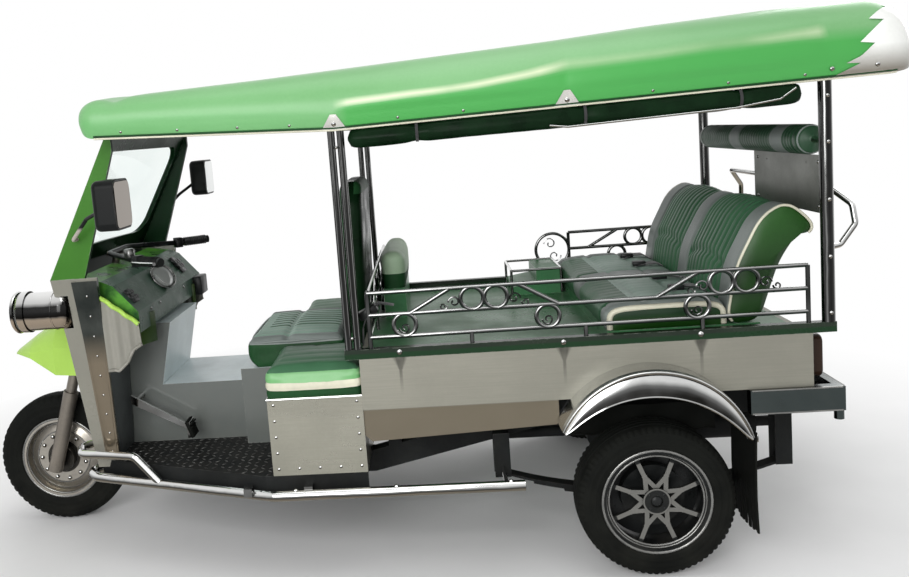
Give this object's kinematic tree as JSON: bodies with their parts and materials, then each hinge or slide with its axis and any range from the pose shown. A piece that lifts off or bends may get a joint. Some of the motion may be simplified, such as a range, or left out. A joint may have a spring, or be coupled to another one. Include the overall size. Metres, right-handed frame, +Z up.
{
  "type": "auto rickshaw",
  "caption": "Three-wheeled passenger rickshaw with open cabin, padded canopy on posts, handlebar steering, driver's seat, rear bench, chrome rails and step bars.",
  "frame": {"origin": "centre of the bounding box's bottom face, on the ground", "axes": "+X forward, +Y to the left, +Z up"},
  "size_m": [3.572, 1.665, 1.9238],
  "materials": {
    "paint_black": "satin",
    "stainless": "brushed",
    "cowl_grey": "gloss",
    "green_paint": "gloss",
    "lime_paint": "gloss",
    "dark_green_paint": "gloss",
    "chrome": "polished",
    "post_chrome": "polished",
    "canopy_vinyl": "gloss",
    "dark_vinyl": "satin",
    "pale_vinyl": "satin",
    "box_vinyl": "satin",
    "tyre": "matte",
    "flap_rubber": "matte",
    "front_rim_steel": "satin",
    "rear_rim_black": "gloss",
    "fork_steel": "satin",
    "bar_black": "satin",
    "mirror_plastic": "satin",
    "mirror_face": "polished",
    "clear_glass": "clear",
    "lamp_amber": "gloss"
  },
  "bodies": {
    "chassis": {"bench_backrest": "dark_vinyl", "bench_cushion": "dark_vinyl", "body_panels": "stainless", "cabin_boxes": "dark_green_paint", "cabin_rails": "chrome", "chassis_frame": "paint_black", "curtain_rolls": "dark_vinyl", "dashboard": "dark_green_paint", "deck": "dark_green_paint", "deck_rims": "dark_green_paint", "driver_backrest": "dark_vinyl", "driver_cushion": "dark_vinyl", "driver_floor": "paint_black", "front_cowl": "cowl_grey", "gauge": "chrome", "head_bolster": "dark_vinyl", "headlamp_lenses": "clear_glass", "headlamp_shells": "chrome", "jump_seat_pad": "pale_vinyl", "leaf_springs": "paint_black", "mirror_glasses": "mirror_face", "mirrors": "mirror_plastic", "mud_flaps": "flap_rubber", "nose_mudguard": "lime_paint", "pedals": "paint_black", "powertrain": "paint_black", "rear_axle": "paint_black", "rear_bumper": "chrome", "rear_fenders": "chrome", "rear_guard": "chrome", "rear_plate": "stainless", "roof_canopy": "canopy_vinyl", "roof_frame": "post_chrome", "seat_base": "dark_green_paint", "side_box_pads": "box_vinyl", "side_boxes": "stainless", "step_bars": "chrome", "tail_lamps": "lamp_amber", "tunnel_cover": "cowl_grey", "wheel_arch_liners": "paint_black", "windscreen_frame": "green_paint", "windscreen_glass": "clear_glass"},
    "steering": {"fork": "fork_steel", "handlebar": "bar_black"},
    "front_wheel": {"front_tyre": "tyre", "front_rim": "front_rim_steel"},
    "rear_wheel_left": {"rear_tyre_left": "tyre", "rear_rim_left": "rear_rim_black"},
    "rear_wheel_right": {"rear_tyre_right": "tyre", "rear_rim_right": "rear_rim_black"}
  },
  "joints": [
    {"name": "steering", "type": "hinge", "parent": "chassis", "child": "steering", "pos_m": [1.4612, 0, 0.26809], "axis": [-0.309, 0, 0.9511], "range_deg": [-35, 35]},
    {"name": "front_wheel_spin", "type": "hinge", "parent": "steering", "child": "front_wheel", "pos_m": [1.504, 0, 0.282], "axis": [0, 1, 0], "continuous": true},
    {"name": "rear_left_spin", "type": "hinge", "parent": "chassis", "child": "rear_wheel_left", "pos_m": [-0.883, 0.68, 0.267], "axis": [0, 1, 0], "continuous": true},
    {"name": "rear_right_spin", "type": "hinge", "parent": "chassis", "child": "rear_wheel_right", "pos_m": [-0.883, -0.68, 0.267], "axis": [0, 1, 0], "continuous": true}
  ]
}
